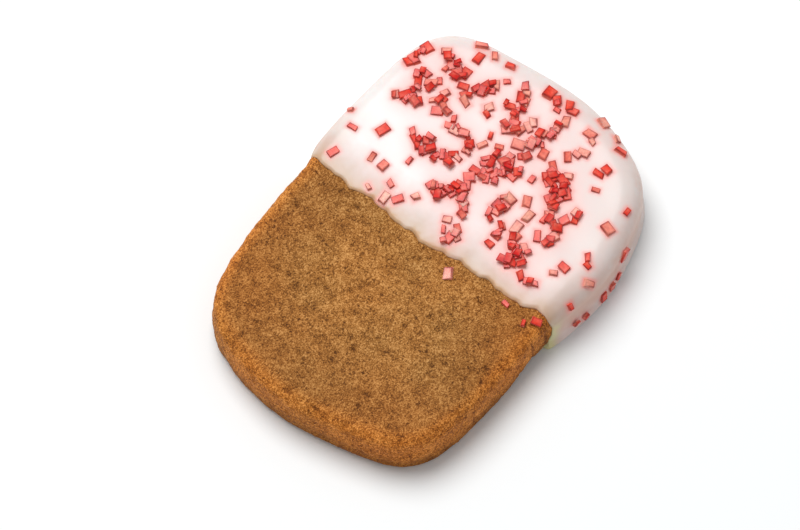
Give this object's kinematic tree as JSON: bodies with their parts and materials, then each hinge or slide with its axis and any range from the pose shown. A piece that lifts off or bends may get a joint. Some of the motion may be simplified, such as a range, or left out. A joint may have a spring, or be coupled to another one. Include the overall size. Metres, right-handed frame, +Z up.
{
  "type": "glazed gingersnap",
  "caption": "Rounded-rectangle spiced biscuit lying flat, one half dipped in glossy white glaze with scattered coarse red sugar crystals.",
  "frame": {"origin": "middle of the whole biscuit's outline, on the surface it rests on", "axes": "+X along the biscuit into its glazed end, +Y across it, +Z up out of the glazed top"},
  "size_m": [0.0677, 0.0487, 0.0099],
  "materials": {
    "biscuit": "dry, matt baked ginger-brown crumb with a fine sandy grain",
    "glaze": "set white sugar glaze, smooth and softly glossy, cream and thin at its edge",
    "sugar": "translucent coarse red sugar crystals"
  },
  "bodies": {
    "root": {"biscuit": "biscuit", "glaze": "glaze"}
  },
  "joints": []
}
